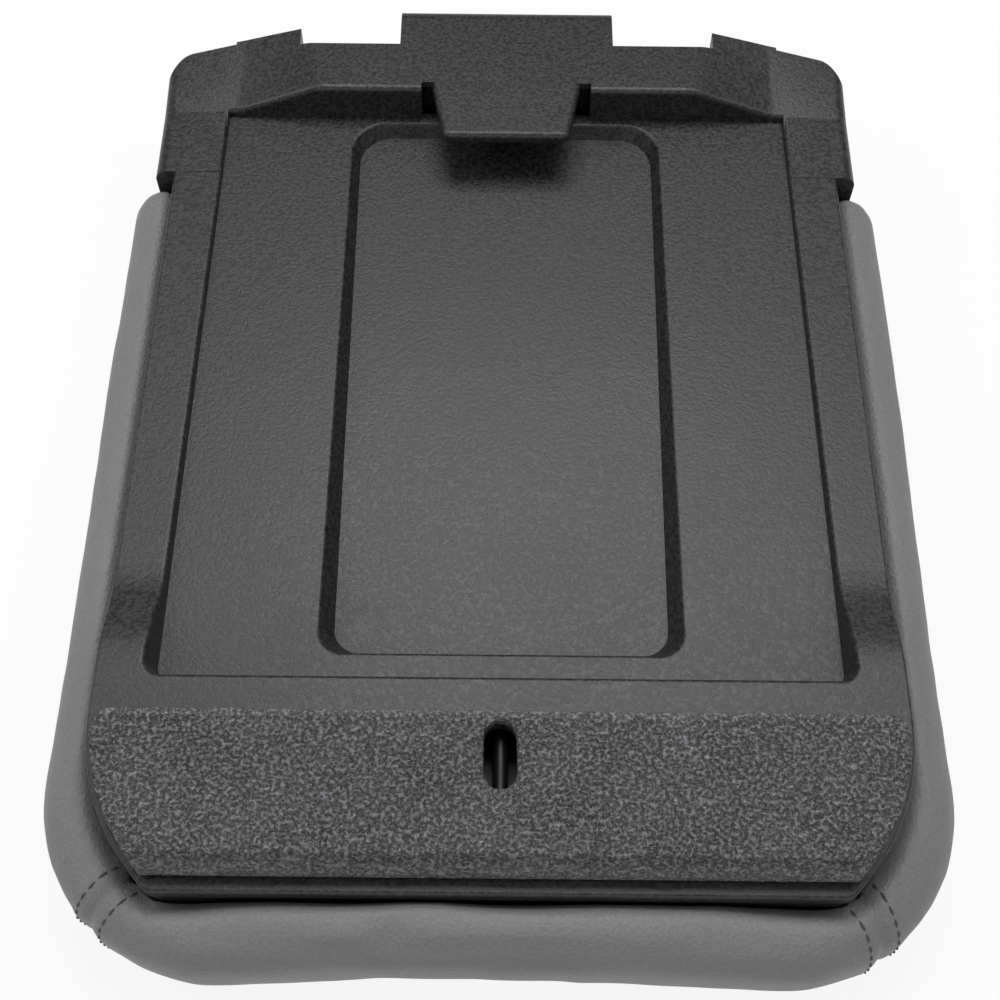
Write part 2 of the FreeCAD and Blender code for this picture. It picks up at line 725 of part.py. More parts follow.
def main():
    os.makedirs("parts", exist_ok=True)
    pins = staples()
    cover = cover_shell()
    base = lid_base()
    for pin in pins:
        cover = cover.cut(pin)
        base = base.cut(pin)
    middle = box(seam_half_width, -reach, 2 * reach, -reach, reach)
    sides = cover.cut(middle)
    left, right = sorted(sides.Solids, key=lambda solid: solid.CenterOfMass.x)
    export("inner_panel", inner_panel())
    export("lid_base", base)
    export("foam_cushion", foam_cushion())
    export("cover_centre", cover.common(middle))
    export("cover_side_left", left)
    export("cover_side_right", right)
    export("cover_staples", pins)
    export("front_foam_strip", front_foam_strip())
    export("latch_striker", latch_striker())
    foot_top = base_floor + base_plate + striker_pad_height + striker_foot_thickness
    export("striker_screws", [pan_screw(x, f, foot_top) for x, f in striker_screw_places()])
    export("panel_screws", [pan_screw(x, f, platform_height) for x, f in panel_screw_places()])
    export("hinge_leaf", hinge_leaf())
    export("hinge_screws", [flat_screw(x, f, leaf_top) for x, f in hinge_screw_places()])


if __name__ == "__main__":
    main()
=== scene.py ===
import math

import bpy
from mathutils import Euler, Matrix, Vector, noise


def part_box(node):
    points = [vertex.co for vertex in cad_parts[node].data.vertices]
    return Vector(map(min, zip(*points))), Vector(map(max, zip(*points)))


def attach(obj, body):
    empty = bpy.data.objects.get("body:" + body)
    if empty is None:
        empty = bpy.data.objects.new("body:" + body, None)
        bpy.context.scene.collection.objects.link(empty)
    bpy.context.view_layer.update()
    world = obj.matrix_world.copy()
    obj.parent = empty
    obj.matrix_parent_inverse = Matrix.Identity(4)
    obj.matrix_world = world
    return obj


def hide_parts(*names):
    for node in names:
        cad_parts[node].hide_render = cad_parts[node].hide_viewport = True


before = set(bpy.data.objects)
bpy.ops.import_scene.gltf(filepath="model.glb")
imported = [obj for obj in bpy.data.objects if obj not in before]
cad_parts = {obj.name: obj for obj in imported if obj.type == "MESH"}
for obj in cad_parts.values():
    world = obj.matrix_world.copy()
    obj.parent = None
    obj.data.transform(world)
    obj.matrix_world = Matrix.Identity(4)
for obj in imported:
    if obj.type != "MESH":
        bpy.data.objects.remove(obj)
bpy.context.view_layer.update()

bl_info = {
    "name": "Console lid dresser",
    "version": (1, 1, 0),
    "blender": (4, 5, 0),
    "location": "View3D > Sidebar > Console lid",
    "description": "Builds the cover, stitching, foam strip, finishes and studio of a padded console lid",
    "category": "Object",
}

BODY = "root"
COVER_NODES = ("cover_centre", "cover_side_left", "cover_side_right")


def node_span(names):
    """Lowest and highest corners of the box round several nodes."""
    boxes = [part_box(name) for name in names]
    low = Vector([min(box[0][i] for box in boxes) for i in range(3)])
    high = Vector([max(box[1][i] for box in boxes) for i in range(3)])
    return low, high


COVER_LOW, COVER_HIGH = node_span(COVER_NODES)
STRIP_LOW, STRIP_HIGH = node_span(["front_foam_strip"])
PANEL_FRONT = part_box("inner_panel")[0].y

# Rounding of the form: steps in each kind of round, and how closely an edge is matched by its place
CORNER_STEPS = 18
ROLL_STEPS = 9
END_STEPS = 3
CLOSE = 1e-5

# Filling of the cover: frames of cloth, pressure, and stiffness of the vinyl
FILL_FRAMES = 20
FILL_PRESSURE = 4.0
STRETCH_STIFFNESS = 30.0
BEND_STIFFNESS = 6.0

# Where the filled cover is held: below the tray, beside the panel and at the hinge end
HELD_BELOW_TRAY = 0.0015
HELD_BESIDE_PANEL = 0.0012
HELD_AT_HINGE = 0.007

# Width of the camera's picture in mm, that its focal length goes with
PICTURE_WIDTH = 36.0

# Lamps: name, place, point that it looks at, width and height, power in watts
LAMPS = (
    ("overhead", (0.08, 0.4, 1.15), (0, -0.02, 0.05), (0.9, 0.46), 9.0),
    ("left", (-0.95, 0.1, 0.95), (0, -0.05, 0.05), (0.8, 0.8), 5.0),
    ("right", (0.95, -0.1, 1.0), (0, -0.05, 0.05), (0.8, 0.8), 3.0),
    ("front", (-0.15, -1.15, 0.75), (0, -0.15, 0.04), (1.0, 0.5), 3.0),
)


def length(name, description, default):
    """A property that holds a length in metres."""
    return bpy.props.FloatProperty(name=name, description=description, default=default, subtype="DISTANCE")


def place(name, description, default):
    """A property that holds a point."""
    return bpy.props.FloatVectorProperty(name=name, description=description, default=default,
                                         subtype="TRANSLATION")


def turn(name, description, degrees):
    """A property that holds an angle, given in degrees."""
    return bpy.props.FloatProperty(name=name, description=description, default=math.radians(degrees),
                                   subtype="ANGLE")


def colour(name, description, default):
    """A property that holds a colour."""
    return bpy.props.FloatVectorProperty(name=name, description=description, default=default,
                                         subtype="COLOR", min=0.0, max=1.0)


class LidCoverSizes(bpy.types.PropertyGroup):
    """Sizes of the padded cover and its seams."""

    corner: length("Corner radius", "Plan radius of the front corners", 0.061)
    lower_roll: length("Lower roll", "Radius of the edge towards the armrest face", 0.021)
    upper_roll: length("Upper roll", "Radius of the edge towards the panel", 0.017)
    end_round: length("End round", "Radius of the edges at the hinge end", 0.005)
    slack: length("Slack", "How much smaller the form starts before it is filled", 0.0016)
    voxel: length("Mesh size", "Size of the mesh that is filled", 0.005)
    swell: length("Swell", "Furthest that filling may push the cover out", 0.005)
    firmness: bpy.props.FloatProperty(
        name="Firmness", description="How well the foam keeps the cover from drawing in", default=0.85,
        min=0.0, max=1.0, subtype="FACTOR")
    panel_half: length("Panel half width", "Half the width of the panel that clamps the cover", 0.1335)
    panel_bend: length("Panel corner", "Plan radius of the panel's front corners", 0.078)
    panel_bend_y: length("Panel corner place", "Place along the lid of the corner's centre", -0.11955)
    tray_inset: length("Tray inset", "How far the tray stands in from the panel's edge", 0.0007)
    tray_floor: length("Tray floor", "Height of the tray's underside", 0.0307)
    parting: length("Panel underside", "Height of the panel's lower edge", 0.0458)
    tuck_side: length("Side tuck", "Depth of the groove where the cover meets the panel's sides", 0.0042)
    tuck_front: length("Front tuck", "Depth of the groove at the front edge", 0.0026)
    tuck_corner: length("Corner tuck", "Depth of the groove at the front corners", 0.0048)
    seam_left: place("Left seam", "Point that the left corner seam passes", (-0.1240, -0.1742, 0.042))
    seam_right: place("Right seam", "Point that the right corner seam passes", (0.1192, -0.1800, 0.042))
    turn_left: turn("Left seam turn", "Angle of the left corner seam from straight across", 42.0)
    turn_right: turn("Right seam turn", "Angle of the right corner seam from straight across", 62.0)
    seam_depth: length("Seam depth", "Depth of the pulled-in seam", 0.0012)
    seam_width: length("Seam width", "Half width of the pulled-in seam", 0.0017)


class LidStitchSizes(bpy.types.PropertyGroup):
    """Sizes of the top stitching beside each seam."""

    offset: length("Row offset", "Distance of each row from the seam", 0.0053)
    stitch: length("Stitch length", "Length of one stitch", 0.0034)
    pitch: length("Stitch pitch", "Distance from stitch to stitch", 0.0046)
    radius: length("Thread radius", "Radius of the thread", 0.00045)


class LidStripSizes(bpy.types.PropertyGroup):
    """Sizes of the foam strip's soft surface."""

    voxel: length("Mesh size", "Size of the strip's mesh", 0.0012)
    rag: length("Ragged edge", "Height of the bumps on the cut foam", 0.0004)
    side_trim: length("Side trim", "How far each end is cut back to show the panel's edge", 0.0008)
    front_trim: length("Front trim", "How far the lower edge is cut back to show the lip", 0.0022)


class LidColours(bpy.types.PropertyGroup):
    """Colours of the finishes."""

    vinyl: colour("Vinyl", "Cover", (0.178, 0.174, 0.178))
    plastic: colour("Plastic", "Panel and base", (0.015, 0.0145, 0.0158))
    foam: colour("Foam", "Foam strip", (0.108, 0.105, 0.110))
    thread: colour("Thread", "Top stitching", (0.045, 0.044, 0.046))
    striker: colour("Striker", "Smooth striker bar", (0.006, 0.006, 0.006))
    steel: colour("Steel", "Hinge leaf, screws and staples", (0.52, 0.53, 0.54))
    floor: colour("Floor", "Studio floor", (0.82, 0.82, 0.82))


class LidStageSizes(bpy.types.PropertyGroup):
    """Camera and studio."""

    camera_place: place("Camera place", "Where the camera stands", (-0.0015, -0.3052, 0.5282))
    camera_turn: bpy.props.FloatVectorProperty(
        name="Camera turn", description="Camera angles", subtype="EULER",
        default=(math.radians(29.68), math.radians(-0.343), math.radians(0.476)))
    lens: bpy.props.FloatProperty(
        name="Lens", description="Focal length in mm on a 36 mm wide picture", default=55.44)
    floor_size: length("Floor size", "Side of the square floor", 8.0)
    sky: bpy.props.FloatProperty(
        name="Sky", description="Strength of the even light from all round", default=0.23, min=0.0)
    whiteness: bpy.props.FloatProperty(
        name="Whiteness", description="Share of plain white in the floor that the camera sees",
        default=0.88, min=0.0, max=1.0, subtype="FACTOR")


class Wire:
    """One shader socket; maths on it adds Math nodes to its tree."""

    def __init__(self, tree, socket):
        self.tree = tree
        self.socket = socket

    def node(self, kind, settings=None, out=0, **inputs):
        """Add any node: its type, its settings, then values or links for its sockets by name or number."""
        new = self.tree.nodes.new(kind)
        for key, value in (settings or {}).items():
            setattr(new, key, value)
        for name, value in inputs.items():
            number = name[2:] if name.startswith("in") else ""
            key = int(number) if number.isdigit() else name.replace("_", " ")
            self.feed(new.inputs[key], value)
        return Wire(self.tree, new.outputs[out])

    def feed(self, socket, value):
        """Link a wire to a socket, or set the socket's own value."""
        if isinstance(value, Wire):
            self.tree.links.new(value.socket, socket)
        else:
            socket.default_value = value

    def maths(self, operation, *values):
        """Add a Math node on some wires or numbers."""
        inputs = {"in%d" % i: value for i, value in enumerate(values)}
        return self.node("ShaderNodeMath", {"operation": operation}, **inputs)

    def __add__(self, other):
        return self.maths("ADD", self, other)

    def __radd__(self, other):
        return self.maths("ADD", other, self)

    def __sub__(self, other):
        return self.maths("SUBTRACT", self, other)

    def __rsub__(self, other):
        return self.maths("SUBTRACT", other, self)

    def __mul__(self, other):
        return self.maths("MULTIPLY", self, other)

    def __rmul__(self, other):
        return self.maths("MULTIPLY", other, self)


def new_finish(name):
    """An empty node material: its Object coordinates and its surface shader."""
    material = bpy.data.materials.new(name)
    material.use_nodes = True
    tree = material.node_tree
    shader = tree.nodes["Principled BSDF"]
    coords = Wire(tree, tree.nodes.new("ShaderNodeTexCoord").outputs["Object"])
    return material, coords, shader


def shade(base, scale=1.0):
    """A colour made lighter or darker, with its alpha."""
    return (base[0] * scale, base[1] * scale, base[2] * scale, 1.0)


def paint(coords, shader, tone, base, start, end):
    """Colour a surface in two shades of one colour, mixed by a tone."""
    mixed = coords.node("ShaderNodeMix", {"data_type": "RGBA"}, out=2, in0=tone, in6=shade(base, start),
                        in7=shade(base, end))
    coords.feed(shader.inputs["Base Color"], mixed)


def speckle(coords, scale, low, high, detail=2.0):
    """Noise with its contrast raised, from 0 below the low level to 1 above the high one."""
    rough = coords.node("ShaderNodeTexNoise", Vector=coords, Scale=scale, Detail=detail, Roughness=0.6)
    return coords.node("ShaderNodeMapRange", in0=rough, in1=low, in2=high)


def emboss(coords, shader, height, strength, distance):
    """Give a surface its grain from a height."""
    bump = coords.node("ShaderNodeBump", Strength=strength, Distance=distance, Height=height)
    coords.feed(shader.inputs["Normal"], bump)


def vinyl_finish(colours):
    """Grained vinyl: small pebbles, fine pores and a slow change of shade."""
    material, coords, shader = new_finish("cover_vinyl")
    pebbles = coords.node("ShaderNodeTexVoronoi", {"feature": "SMOOTH_F1"}, Vector=coords, Scale=780.0,
                          Smoothness=0.4)
    pores = speckle(coords, scale=1500.0, low=0.35, high=0.65)
    cloud = coords.node("ShaderNodeTexNoise", Vector=coords, Scale=24.0, Detail=3.0)
    height = pebbles * 0.9 + pores * 0.25
    emboss(coords, shader, height, strength=0.45, distance=0.0006)
    tone = cloud * 0.3 + pores * 0.25 + pebbles * 0.35
    paint(coords, shader, tone, colours.vinyl, start=1.2, end=0.8)
    coords.feed(shader.inputs["Roughness"], 0.44 + cloud * 0.14)
    shader.inputs["Specular IOR Level"].default_value = 0.4
    return material


def plastic_finish(colours):
    """Moulded black plastic: a sandy grain that catches the light, with duller handled patches."""
    material, coords, shader = new_finish("panel_plastic")
    sand = speckle(coords, scale=620.0, low=0.4, high=0.6, detail=3.0)
    grit = speckle(coords, scale=1300.0, low=0.38, high=0.62)
    cloud = coords.node("ShaderNodeTexNoise", Vector=coords, Scale=11.0, Detail=4.0)
    height = sand * 0.7 + grit * 0.3
    emboss(coords, shader, height, strength=0.6, distance=0.0001)
    tone = sand * 0.6 + grit * 0.35 + cloud * 0.1
    paint(coords, shader, tone, colours.plastic, start=0.1, end=2.2)
    coords.feed(shader.inputs["Roughness"], 0.31 + cloud * 0.12 + sand * 0.1)
    shader.inputs["Specular IOR Level"].default_value = 0.5
    return material


def near(line, where, width):
    """1 on a place along one coordinate, falling to 0 a width away."""
    offset = line - where
    away = offset.maths("ABSOLUTE", offset)
    return line.node("ShaderNodeMapRange", in0=away, in1=0.0, in2=width, in3=1.0, in4=0.0)


def foam_finish(colours, sizes):
    """Open-cell foam: dark pores between pale cell walls, with a painted highlight that makes its two long
    cut edges paler.
    """
    material, coords, shader = new_finish("strip_foam")
    cells = speckle(coords, scale=760.0, low=0.44, high=0.58, detail=4.0)
    fine = speckle(coords, scale=1300.0, low=0.4, high=0.6)
    blotch = coords.node("ShaderNodeTexNoise", Vector=coords, Scale=55.0, Detail=3.0)
    height = cells * 0.8 + fine * 0.5
    emboss(coords, shader, height, strength=0.9, distance=0.0011)
    # Painted highlight: the colour is made paler along the rear and lower front cut edges, in place of the
    # light that the fuzzy foam edges catch.
    lengthways = coords.node("ShaderNodeSeparateXYZ", out=1, Vector=coords)
    rear_edge_highlight = near(lengthways, STRIP_HIGH.y, width=0.0035)
    front_edge_highlight = near(lengthways, STRIP_LOW.y + sizes.front_trim, width=0.003)
    edges = rear_edge_highlight + front_edge_highlight
    # The painted edge highlight, broken up by fine noise.
    painted_edge_highlight = edges * (0.35 + fine * 0.5)
    tone = cells * 0.55 + fine * 0.2 + blotch * 0.25 + painted_edge_highlight * 0.35
    paint(coords, shader, tone, colours.foam, start=0.04, end=2.9)
    shader.inputs["Roughness"].default_value = 0.92
    shader.inputs["Specular IOR Level"].default_value = 0.2
    return material


def thread_finish(colours):
    """Twisted sewing thread."""
    material, coords, shader = new_finish("thread")
    twist = coords.node("ShaderNodeTexNoise", Vector=coords, Scale=2400.0, Detail=2.0)
    emboss(coords, shader, twist, strength=0.5, distance=0.0003)
    paint(coords, shader, twist, colours.thread, start=0.6, end=1.5)
    shader.inputs["Roughness"].default_value = 0.6
    return material


def gloss_finish(colours):
    """Smooth black striker, with a trace of handling marks."""
    material, coords, shader = new_finish("striker_plastic")
    smear = coords.node("ShaderNodeTexNoise", Vector=coords, Scale=220.0, Detail=3.0)
    coords.feed(shader.inputs["Roughness"], 0.32 + smear * 0.16)
    paint(coords, shader, smear, colours.striker, start=0.7, end=1.6)
    shader.inputs["Specular IOR Level"].default_value = 0.3
    return material


def steel_finish(colours):
    """Zinc-plated steel with a faint brushed streak."""
    material, coords, shader = new_finish("steel")
    stretched = coords.node("ShaderNodeMapping", Vector=coords, Scale=(60.0, 900.0, 900.0))
    streak = coords.node("ShaderNodeTexNoise", Vector=stretched, Scale=1.0, Detail=3.0)
    coords.feed(shader.inputs["Roughness"], 0.28 + streak * 0.25)
    paint(coords, shader, streak, colours.steel, start=0.8, end=1.1)
    shader.inputs["Metallic"].default_value = 1.0
    return material


def seen_directly(tree, share):
    """A factor that is a given share for rays from the camera, in mirrors and through glass, and else 0."""
    path = tree.nodes.new("ShaderNodeLightPath")
    eye = Wire(tree, path.outputs["Is Camera Ray"])
    mirror = Wire(tree, path.outputs["Is Glossy Ray"])
    glass = Wire(tree, path.outputs["Is Transmission Ray"])
    seen = eye + mirror + glass
    return seen.maths("MINIMUM", seen, 1.0) * share


def floor_finish(colours, sizes):
    """Pale floor that shows almost white to the camera and keeps the shadow."""
    material, coords, shader = new_finish("studio_floor")
    shader.inputs["Base Color"].default_value = shade(colours.floor)
    shader.inputs["Roughness"].default_value = 0.9
    tree = material.node_tree
    white = coords.node("ShaderNodeEmission", Strength=1.0)
    lit = Wire(tree, shader.outputs[0])
    blend = coords.node("ShaderNodeMixShader", in0=seen_directly(tree, sizes.whiteness), in1=lit, in2=white)
    coords.feed(tree.nodes["Material Output"].inputs["Surface"], blend)
    return material


def wear(obj, material):
    """Give an object one material on all its slots."""
    if not obj.data.materials:
        obj.data.materials.append(material)
    for slot in obj.material_slots:
        slot.material = material


def select_only(obj):
    """Select one object and make it the active one."""
    bpy.ops.object.select_all(action="DESELECT")
    obj.select_set(True)
    bpy.context.view_layer.objects.active = obj


def add_block(name, low, high):
    """Cube primitive stretched to a box, with its place in its mesh."""
    bpy.ops.object.select_all(action="DESELECT")
    bpy.ops.mesh.primitive_cube_add(size=1.0, location=(low + high) / 2)
    block = bpy.context.object
    block.name = name
    block.scale = high - low
    bpy.ops.object.transform_apply(location=True, rotation=True, scale=True)
    return block


def clear_picks(mesh):
    """Leave nothing of a mesh selected."""
    for group in (mesh.polygons, mesh.vertices, mesh.edges):
        for item in group:
            item.select = False


def pick_edges(obj, test):
    """Select the edges whose two ends pass the test, and go into edit mode."""
    bpy.ops.object.mode_set(mode="OBJECT")
    mesh = obj.data
    clear_picks(mesh)
    for edge in mesh.edges:
        start, end = (mesh.vertices[i].co for i in edge.vertices)
        edge.select = test(start, end)
    bpy.context.tool_settings.mesh_select_mode = (False, True, False)
    bpy.ops.object.mode_set(mode="EDIT")


def bevel_edges(obj, test, offset, segments):
    """Round the edges that pass the test."""
    pick_edges(obj, test)
    bpy.ops.mesh.bevel(offset=offset, segments=segments, affect="EDGES", profile=0.5, clamp_overlap=True)
    bpy.ops.object.mode_set(mode="OBJECT")


def apply_modifier(obj, kind, **settings):
    """Add a modifier, set it and apply it."""
    select_only(obj)
    modifier = obj.modifiers.new(kind.title(), kind)
    for key, value in settings.items():
        setattr(modifier, key, value)
    bpy.ops.object.modifier_apply(modifier=modifier.name)


def round_front_corners(block, front, radius):
    """Round the two upright edges at the front of a block."""
    limit = front + CLOSE

    def upright(start, end):
        return start.y < limit and end.y < limit and abs(start.x - end.x) < CLOSE

    bevel_edges(block, upright, radius, CORNER_STEPS)


def cushion_form(sizes):
    """Closed form of the cushion: a block with round front corners and rolled edges."""
    low = COVER_LOW + Vector((1, 1, 1)) * sizes.slack
    high = COVER_HIGH - Vector((1, 0, 0)) * sizes.slack
    form = add_block("padded_cover", low, high)
    round_front_corners(form, low.y, sizes.corner)
    rear = high.y - CLOSE

    def at_rear(start, end):
        return start.y > rear and end.y > rear

    def on_rim(start, end):
        return abs(start.z - height) + abs(end.z - height) < CLOSE and not at_rear(start, end)

    for height, radius in ((low.z, sizes.lower_roll), (high.z, sizes.upper_roll)):
        bevel_edges(form, on_rim, radius, ROLL_STEPS)
    bevel_edges(form, at_rear, sizes.end_round, END_STEPS)
    return form


def trim_front(y):
    """In edit mode, cut away all of a mesh in front of a place along the lid, and close the cut."""
    bpy.ops.mesh.select_all(action="SELECT")
    bpy.ops.mesh.bisect(plane_co=(0, y, 0), plane_no=(0, 1, 0), use_fill=True, clear_inner=True)


def cut_well(form, sizes):
    """Cut the hollow that the tray sits in, open towards the hinge end."""
    inset = sizes.tray_inset
    half = sizes.panel_half - inset
    bend = sizes.panel_bend - inset
    overrun = 0.02
    low = Vector((-half, sizes.panel_bend_y - bend, sizes.tray_floor))
    high = Vector((half, COVER_HIGH.y + overrun, COVER_HIGH.z + overrun))
    tool = add_block("well_tool", low, high)
    round_front_corners(tool, low.y, bend)
    bpy.ops.object.mode_set(mode="EDIT")
    trim_front(PANEL_FRONT + inset)
    bpy.ops.object.mode_set(mode="OBJECT")
    apply_modifier(form, "BOOLEAN", operation="DIFFERENCE", solver="EXACT", object=tool)
    bpy.data.objects.remove(tool)


def panel_distance(point, sizes, inset=0.0):
    """Signed distance in plan from the panel's outline drawn in by an inset, positive outside it."""
    centre_x = sizes.panel_half - sizes.panel_bend
    across = abs(point.x) - centre_x
    ahead = sizes.panel_bend_y - point.y
    side = across - sizes.panel_bend
    if ahead > 0 and across > 0:
        side = math.hypot(across, ahead) - sizes.panel_bend
    return max(side, PANEL_FRONT - point.y) + inset


def way_out(point, sizes):
    """Direction in plan that leads straight out of the panel's outline."""
    step = 1e-4
    here = panel_distance(point, sizes)
    slope_x = panel_distance(point + Vector((step, 0, 0)), sizes) - here
    slope_y = panel_distance(point + Vector((0, step, 0)), sizes) - here
    slope = Vector((slope_x, slope_y, 0.0))
    return slope.normalized() if slope.length > 0 else Vector((0.0, -1.0, 0.0))


def fill_cover(form, sizes):
    """Blow the cover out a little with a cloth simulation, held where the tray and the panel clamp it."""
    start = [(vertex.co.copy(), vertex.normal.copy()) for vertex in form.data.vertices]
    held = form.vertex_groups.new(name="held")
    for vertex in form.data.vertices:
        by_tray = vertex.co.z > sizes.tray_floor - HELD_BELOW_TRAY
        by_panel = panel_distance(vertex.co, sizes) < HELD_BESIDE_PANEL
        at_hinge = vertex.co.y > COVER_HIGH.y - HELD_AT_HINGE
        if (by_tray and by_panel) or at_hinge:
            held.add([vertex.index], 1.0, "REPLACE")
    cloth = form.modifiers.new("Cloth", "CLOTH")
    cloth.settings.use_pressure = True
    cloth.settings.uniform_pressure_force = FILL_PRESSURE
    cloth.settings.effector_weights.gravity = 0.0
    cloth.settings.vertex_group_mass = "held"
    cloth.settings.tension_stiffness = STRETCH_STIFFNESS
    cloth.settings.compression_stiffness = STRETCH_STIFFNESS
    cloth.settings.bending_stiffness = BEND_STIFFNESS
    cloth.point_cache.frame_start = 1
    cloth.point_cache.frame_end = FILL_FRAMES
    for number in range(1, FILL_FRAMES + 1):
        bpy.context.scene.frame_set(number)
    select_only(form)
    bpy.ops.object.modifier_apply(modifier=cloth.name)
    for vertex, (origin, normal) in zip(form.data.vertices, start):
        move = vertex.co - origin
        move -= normal * min(0.0, move.dot(normal)) * sizes.firmness
        vertex.co = origin + move
        if move.length > sizes.swell:
            vertex.co = origin + move.normalized() * sizes.swell
    bpy.context.scene.frame_set(1)


def clamp(value, low=0.0, high=1.0):
    """The value, kept between two limits."""
    return max(low, min(high, value))


def reach_box(cover, sizes):
    """Ease the filled cover out to the width and length that it is cut to."""
    points = [vertex.co for vertex in cover.data.vertices]
    left = min(point.x for point in points)
    right = max(point.x for point in points)
    front = min(point.y for point in points)
    ease_width = 0.014
    below_tray = sizes.tray_floor - 0.004
    for point in points:
        ease = clamp(panel_distance(point, sizes) / ease_width)
        if point.z < below_tray:
            ease = 1.0
        wide = COVER_HIGH.x / right if point.x > 0 else COVER_LOW.x / left
        point.x *= 1.0 + (wide - 1.0) * ease
        point.y += (COVER_LOW.y - front) * ease * clamp(point.y / front)


def seam_frame(side, sizes):
    """A corner seam's point on the roll, its direction outwards and the direction forwards across it."""
    point = Vector(sizes.seam_right if side > 0 else sizes.seam_left)
    angle = sizes.turn_right if side > 0 else sizes.turn_left
    outwards = Vector((side * math.cos(angle), -math.sin(angle), 0.0))
    forwards = Vector((-side * math.sin(angle), -math.cos(angle), 0.0))
    return point, outwards, forwards


def under_seam_x(y, point):
    """Distance from the middle of the seam on the armrest face, which swings out to the corner seam."""
    shift = 0.0025
    swing = 0.35
    swing_start = point.y + 0.008
    return abs(point.x) + shift + swing * max(0.0, swing_start - y)


def seam_distance(point, sizes):
    """Distance across the surface from the nearer seam, positive on its inner and front side."""
    start, _, forwards = seam_frame(1 if point.x > 0 else -1, sizes)
    over = (point - start).dot(forwards)
    under = under_seam_x(point.y, start) - abs(point.x)
    blend_low = 0.006
    blend_height = 0.012
    blend = clamp((point.z - blend_low) / blend_height)
    blend = blend * blend * (3.0 - 2.0 * blend)
    return under * (1.0 - blend) + over * blend


def refine_seams(cover, sizes):
    """Divide the faces beside the seams and the panel's edge, so that the grooves come out crisp."""
    mesh = cover.data
    seam_reach = 0.009
    panel_reach = 0.006
    well_bottom = sizes.tray_floor - 0.003
    roll_top = 0.036
    clear_picks(mesh)
    for face in mesh.polygons:
        edge = panel_distance(face.center, sizes)
        by_seam = abs(seam_distance(face.center, sizes)) < seam_reach
        in_well = face.center.z > well_bottom and edge < 0.0
        by_panel = face.center.z > roll_top and abs(edge) < panel_reach
        face.select = by_panel or (by_seam and not in_well)
    select_only(cover)
    bpy.context.tool_settings.mesh_select_mode = (False, False, True)
    bpy.ops.object.mode_set(mode="EDIT")
    bpy.ops.mesh.subdivide(number_cuts=1, smoothness=0.0)
    bpy.ops.object.mode_set(mode="OBJECT")


def tuck_depth(point, sizes):
    """How far the cover drops where it goes in under the panel's edge."""
    roll_bottom = 0.034
    front_ease = 0.012
    corner_ease = 0.03
    plain_width = 0.0034
    corner_widening = 0.0016
    if point.z < roll_bottom:
        return 0.0
    centre_x = sizes.panel_half - sizes.panel_bend
    front = clamp((PANEL_FRONT + front_ease - point.y) / front_ease)
    round_side = clamp((abs(point.x) - centre_x - front_ease) / corner_ease)
    round_front = clamp((sizes.panel_bend_y - point.y) / corner_ease)
    at_corner = round_side * round_front
    sway = 1.9 * math.sin(point.x * 27.0 + 0.6)
    wave = 0.5 + 0.5 * math.sin(point.x * 62.0 + sway)
    side = sizes.tuck_side * (1.0 - front)
    depth = side + front * sizes.tuck_front * (0.45 + 1.1 * wave)
    depth += (sizes.tuck_corner - depth) * at_corner
    width = plain_width + corner_widening * at_corner
    return depth * math.exp(-(max(panel_distance(point, sizes), 0.0) / width) ** 2)


def keep_clear(point, sizes):
    """Move a point out of the tray, the panel and the floor, and back to the cover's own box."""
    gap = 0.0004
    press_down = 0.004
    stand_proud = 0.002
    edge = panel_distance(point, sizes)
    over = point.z - sizes.parting
    if over > 0 and edge < gap:
        if over < press_down or over < -edge:
            point.z = sizes.parting
        else:
            point += way_out(point, sizes) * (gap - edge)
    deep = panel_distance(point, sizes, sizes.tray_inset)
    rise = point.z - sizes.tray_floor
    if rise > 0 and deep < 0:
        if rise < -deep:
            point.z = sizes.tray_floor
        else:
            point += way_out(point, sizes) * -deep
    point.x = clamp(point.x, COVER_LOW.x, COVER_HIGH.x)
    point.y = clamp(point.y, COVER_LOW.y, COVER_HIGH.y)
    point.z = clamp(point.z, 0.0, COVER_HIGH.z + stand_proud)


def pull_in_seams(cover, sizes):
    """Press the sewn seams and the tucked edge into the filled cover, and add slight unevenness."""
    mesh = cover.data
    crown_rise = 0.0005
    crown_offset = 0.006
    crown_width = 0.003
    slow_drift = 0.0004
    quick_drift = 0.0002
    normals = [vertex.normal.copy() for vertex in mesh.vertices]
    for vertex, normal in zip(mesh.vertices, normals):
        point = vertex.co.copy()
        across = seam_distance(point, sizes)
        groove = sizes.seam_depth * math.exp(-(across / sizes.seam_width) ** 2)
        crown = crown_rise * math.exp(-((abs(across) - crown_offset) / crown_width) ** 2)
        drift = slow_drift * noise.noise(point * 22.0) + quick_drift * noise.noise(point * 75.0)
        drop = tuck_depth(point, sizes)
        point += normal * (crown - groove + drift) - Vector((0, 0, drop))
        keep_clear(point, sizes)
        vertex.co = point


def build_cover(sizes, colours):
    """The padded vinyl cover with its foam inside."""
    cover = cushion_form(sizes)
    cut_well(cover, sizes)
    select_only(cover)
    cover.data.remesh_voxel_size = sizes.voxel
    bpy.ops.object.voxel_remesh()
    apply_modifier(cover, "SMOOTH", factor=0.5, iterations=3)
    fill_cover(cover, sizes)
    apply_modifier(cover, "SUBSURF", levels=1, render_levels=1)
    reach_box(cover, sizes)
    refine_seams(cover, sizes)
    pull_in_seams(cover, sizes)
    select_only(cover)
    bpy.ops.object.shade_smooth()
    wear(cover, vinyl_finish(colours))
    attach(cover, BODY)
    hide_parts(*COVER_NODES, "foam_cushion")


